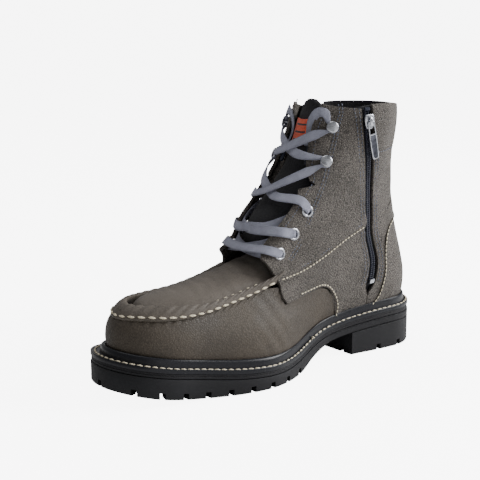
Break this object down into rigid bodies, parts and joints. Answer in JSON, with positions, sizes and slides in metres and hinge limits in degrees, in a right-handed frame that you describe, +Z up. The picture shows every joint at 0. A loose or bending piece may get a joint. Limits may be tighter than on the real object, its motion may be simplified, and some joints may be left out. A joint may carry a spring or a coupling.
{
  "type": "work boot",
  "caption": "Moc-toe leather work boot for the right foot, with a lace-up front, a side zipper whose slider runs and whose pull swings, and a lugged sole on a stitched welt.",
  "frame": {"origin": "middle of the box's underside, where the heel and the ball of the sole stand", "axes": "+Z up, toe towards -Y, +X the inner side of the foot (the side with the zipper)"},
  "size_m": [0.1118, 0.304, 0.2112],
  "materials": {
    "leather": "matt pebbled",
    "apron_leather": "smooth, creased at the throat",
    "rubber": "matt",
    "welt_rubber": "satin",
    "thread": "waxed",
    "textile": "matt",
    "aglet": "clear",
    "board": "matt",
    "cork": "matt",
    "steel": "brushed",
    "label": "woven",
    "coil": "satin",
    "nickel": "satin",
    "lace": "flat woven"
  },
  "bodies": {
    "boot": {"vamp": "leather", "moc_rib": "leather", "quarter_inner_upper": "leather", "quarter_inner_lower": "leather", "counter": "leather", "heel_quarter": "leather", "shaft_back": "leather", "collar_back": "leather", "quarter_outer_upper": "leather", "quarter_outer_lower": "leather", "apron": "apron_leather", "outsole": "rubber", "heel_block": "rubber", "midsole": "welt_rubber", "welt": "welt_rubber", "welt_stitching": "thread", "moc_stitching": "thread", "footbed": "textile", "apron_lining": "textile", "back_strap": "textile", "pull_tab": "textile", "collar_foam": "textile", "lining_shaft": "textile", "lining_foot": "textile", "tongue": "textile", "zip_tape_front": "textile", "zip_tape_rear": "textile", "aglet_inner": "aglet", "aglet_outer": "aglet", "insole_board": "board", "counter_stiffener": "board", "toe_puff": "board", "cork_filler": "cork", "shank": "steel", "tongue_label": "label", "zip_coil_front": "coil", "zip_coil_rear": "coil", "zip_bottom_stop": "nickel", "zip_top_stop": "nickel", "eyelet_inner_1": "nickel", "eyelet_inner_2": "nickel", "eyelet_inner_3": "nickel", "lace_hook_inner_1": "nickel", "lace_hook_inner_2": "nickel", "eyelet_outer_1": "nickel", "eyelet_outer_2": "nickel", "eyelet_outer_3": "nickel", "lace_hook_outer_1": "nickel", "lace_hook_outer_2": "nickel", "lace": "lace"},
    "slider": {"zip_slider": "nickel"},
    "pull": {"zip_pull": "nickel"}
  },
  "joints": [
    {"name": "zipper_slide", "type": "slide", "parent": "boot", "child": "slider", "axis": [-0.0312, 0.0767, -0.9966], "range_m": [0, 0.06]},
    {"name": "pull_swing", "type": "hinge", "parent": "slider", "child": "pull", "pos_m": [0.03807, 0.07817, 0.18981], "axis": [-0.1385, -0.9878, -0.0717], "range_deg": [0, 160]}
  ]
}
